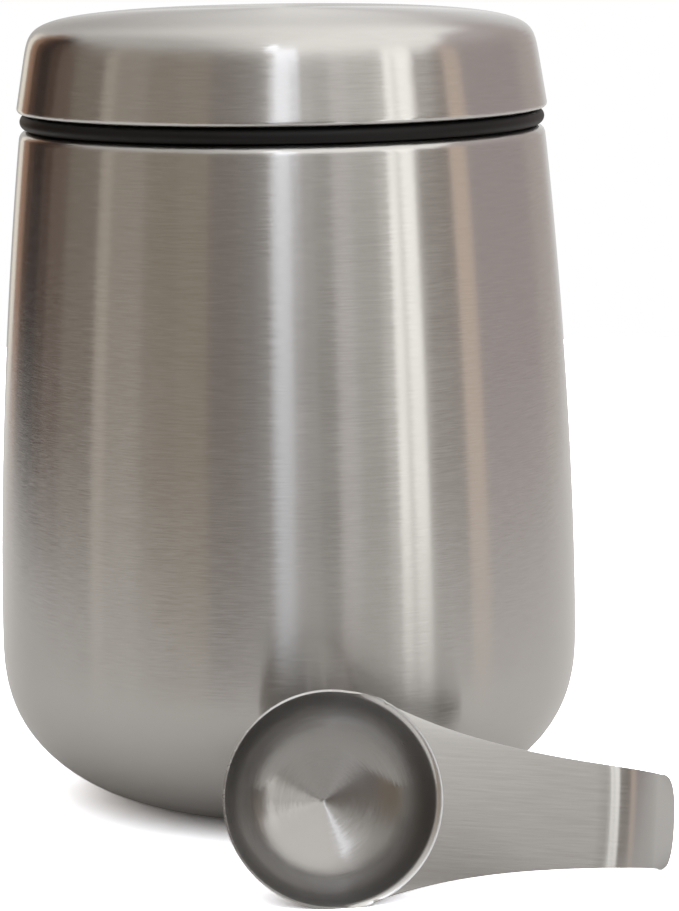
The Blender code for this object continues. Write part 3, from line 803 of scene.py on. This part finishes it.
def make_world():
    """The studio: panels round the object below a pale overhead. The camera sees plain white."""
    world = bpy.data.worlds.new("studio")
    bpy.context.scene.world = world
    world.use_nodes = True
    tree = world.node_tree
    tree.nodes.clear()
    view = node(tree, "TexCoord").outputs["Generated"]
    way = node(tree, "VectorMath", {0: view}, operation="NORMALIZE").outputs[0]
    parts = node(tree, "SeparateXYZ", {0: way}).outputs
    azimuth = math(tree, "ARCTAN2", parts[0], math(tree, "MULTIPLY", parts[1], -1.0))
    elevation = math(tree, "ARCSINE", parts[2])
    left, right, start, stop = OVERHEAD
    colour = mixed(tree, stepped(tree, parts[0], start, stop), toned(left), toned(right))
    group = panel_group()
    screen = (*SCREEN[:3], *HIDDEN_FOOT, *SCREEN[3:])
    walls = [(*wall[:3], *HIDDEN_FOOT, wall[3], 0, *wall[4:]) for wall in WALLS]
    patches = [(*patch[:6], 0, *patch[6:]) for patch in PATCHES]
    for first, last, soft, low, foot_soft, high, arch, top_soft, tone in (screen, *walls, *patches):
        panel = node(tree, "Group", node_tree=group)
        connect(tree, panel, {
            "Behind": colour, "Azimuth": azimuth, "Elevation": elevation, "Arch": arch,
            "Centre": radians((first + last) / 2), "Half width": radians((last - first) / 2),
            "Softness": radians(soft), "Lowest": radians(low), "Foot softness": radians(foot_soft),
            "Highest": radians(high), "Top softness": radians(top_soft), "Tone": toned(tone)})
        colour = panel.outputs[0]
    seen = node(tree, "LightPath").outputs["Is Camera Ray"]
    colour = mixed(tree, seen, colour, (1, 1, 1, 1))
    back = node(tree, "Background", {"Color": colour, "Strength": 1.0})
    out = node(tree, "OutputWorld")
    tree.links.new(back.outputs[0], out.inputs["Surface"])


def make_floor(half_width=0.50, front=-0.26, back=0.80, shade=0.80, lift=5.0, tint=(0.95, 0.99, 1.06)):
    """A pale table top, which the camera sees lifted to white where nothing shades it."""
    corners = [(-half_width, front, 0), (half_width, front, 0), (half_width, back, 0), (-half_width, back, 0)]
    mesh = bpy.data.meshes.new("table_top")
    mesh.from_pydata(corners, [], [(0, 1, 2, 3)])
    material, tree, out = new_tree("table_white")
    seen = node(tree, "LightPath").outputs["Is Camera Ray"]
    tone = mixed(tree, seen, toned((shade, shade, shade)), toned(tint, shade * lift))
    plain = node(tree, "BsdfDiffuse", {"Color": tone})
    behind = node(tree, "NewGeometry").outputs["Backfacing"]
    clear = node(tree, "BsdfTransparent")
    shader = node(tree, "MixShader", {0: behind, 1: plain.outputs[0], 2: clear.outputs[0]})
    tree.links.new(shader.outputs[0], out.inputs["Surface"])
    mesh.materials.append(material)
    floor = bpy.data.objects.new("table_top", mesh)
    bpy.context.scene.collection.objects.link(floor)


def make_camera():
    """A long lens that looks a little down, turned and tipped as the photograph is."""
    ahead = np.array([sin(CAMERA_YAW) * cos(CAMERA_PITCH), cos(CAMERA_YAW) * cos(CAMERA_PITCH),
                      -sin(CAMERA_PITCH)])
    right = np.array([cos(CAMERA_YAW), -sin(CAMERA_YAW), 0.0])
    up = np.cross(right, ahead)
    across = cos(CAMERA_TIP) * right - sin(CAMERA_TIP) * up
    rise = sin(CAMERA_TIP) * right + cos(CAMERA_TIP) * up
    data = bpy.data.cameras.new("camera")
    data.sensor_width = SENSOR
    data.lens = FOCAL_PIXELS / FRAME_HEIGHT * SENSOR
    data.clip_start, data.clip_end = 0.01, 20.0
    camera = bpy.data.objects.new("camera", data)
    turn = Matrix(np.stack([across, rise, -ahead], 1).tolist()).to_4x4()
    camera.matrix_world = Matrix.Translation(CAMERA_PLACE) @ turn
    bpy.context.scene.collection.objects.link(camera)
    bpy.context.scene.camera = camera


def build():
    """Make the materials, the pieces and the studio."""
    brushing = brushing_group()
    spun = {"plain": ((0.562, 0.55, 0.535), 0.20), "second": ((0.62, 0.61, 0.60), 0.18),
            "line": (0.006, 0.0003), "tilt": 0.06, "skew": 0.005}
    # Second pressed steel: darker, a painted shade in the bowl; its lines and gloss are the turned finish
    pressed = {"plain": ((0.48, 0.473, 0.463), 0.19), "second": ((0.385, 0.376, 0.367), 0.16),
               "line": (0.009, 0.0003), "tilt": 0.015, "skew": 0.003}
    body_steel = steel_material("body_steel", brushing, **spun)
    lid_steel = steel_material("lid_steel", brushing, **spun)
    scoop_steel = steel_material("scoop_steel", brushing, **pressed)
    silicone = moulded_material("seal_silicone", (0.0030, 0.0024, 0.0026), 0.50, 0.0003, 0.00001, 0.30)
    plastic = moulded_material("plug_plastic", (0.025, 0.025, 0.027), 0.45, 0.0004, 0.00002)
    rubber = moulded_material("pad_rubber", (0.018, 0.018, 0.018), 0.75, 0.0003, 0.00002)

    body = turned("canister_steel", with_wall(body_profile(), BODY_SHEET), True)
    lid = turned("lid_dome", with_wall(lid_profile(), LID_SHEET), True)
    add_piece("canister_steel", body, body_steel, "canister", "steel", "canister_body")
    add_piece("foot_pad", turned("foot_pad", pad_profile()), rubber, "canister", "rubber", "base_pad")
    add_piece("lid_dome", lid, lid_steel, "lid", "steel", "lid_shell")
    add_piece("lid_insert", turned("lid_insert", plug_profile()), plastic, "lid", "plastic", "lid_plug")
    add_piece("sealing_ring", turned("sealing_ring", seal_profile(), True), silicone, "lid", "silicone",
              "lid_seal")

    mesh = scoop_mesh()
    mesh.transform(Matrix.Rotation(-SCOOP_TURN, 4, "Z") @ Matrix.Rotation(pi / 2 - SCOOP_TAPER, 4, "X")
                   @ Matrix.Rotation(-SCOOP_ROLL, 4, "Z"))
    mesh.transform(Matrix.Translation((SCOOP_SIDE, -SCOOP_FRONT, SCOOP_HEIGHT)))
    scoop = add_piece("measuring_scoop", mesh, scoop_steel, "scoop", "steel", "scoop")
    mesh.materials.append(polished_material("scoop_edge_steel", (0.48, 0.47, 0.46), 0.24))
    rounded_sheet(scoop, SCOOP_THINNING, SCOOP_SHEET)

    make_world()
    make_floor()
    make_camera()


build()
bpy.context.scene.view_settings.view_transform = "Standard"
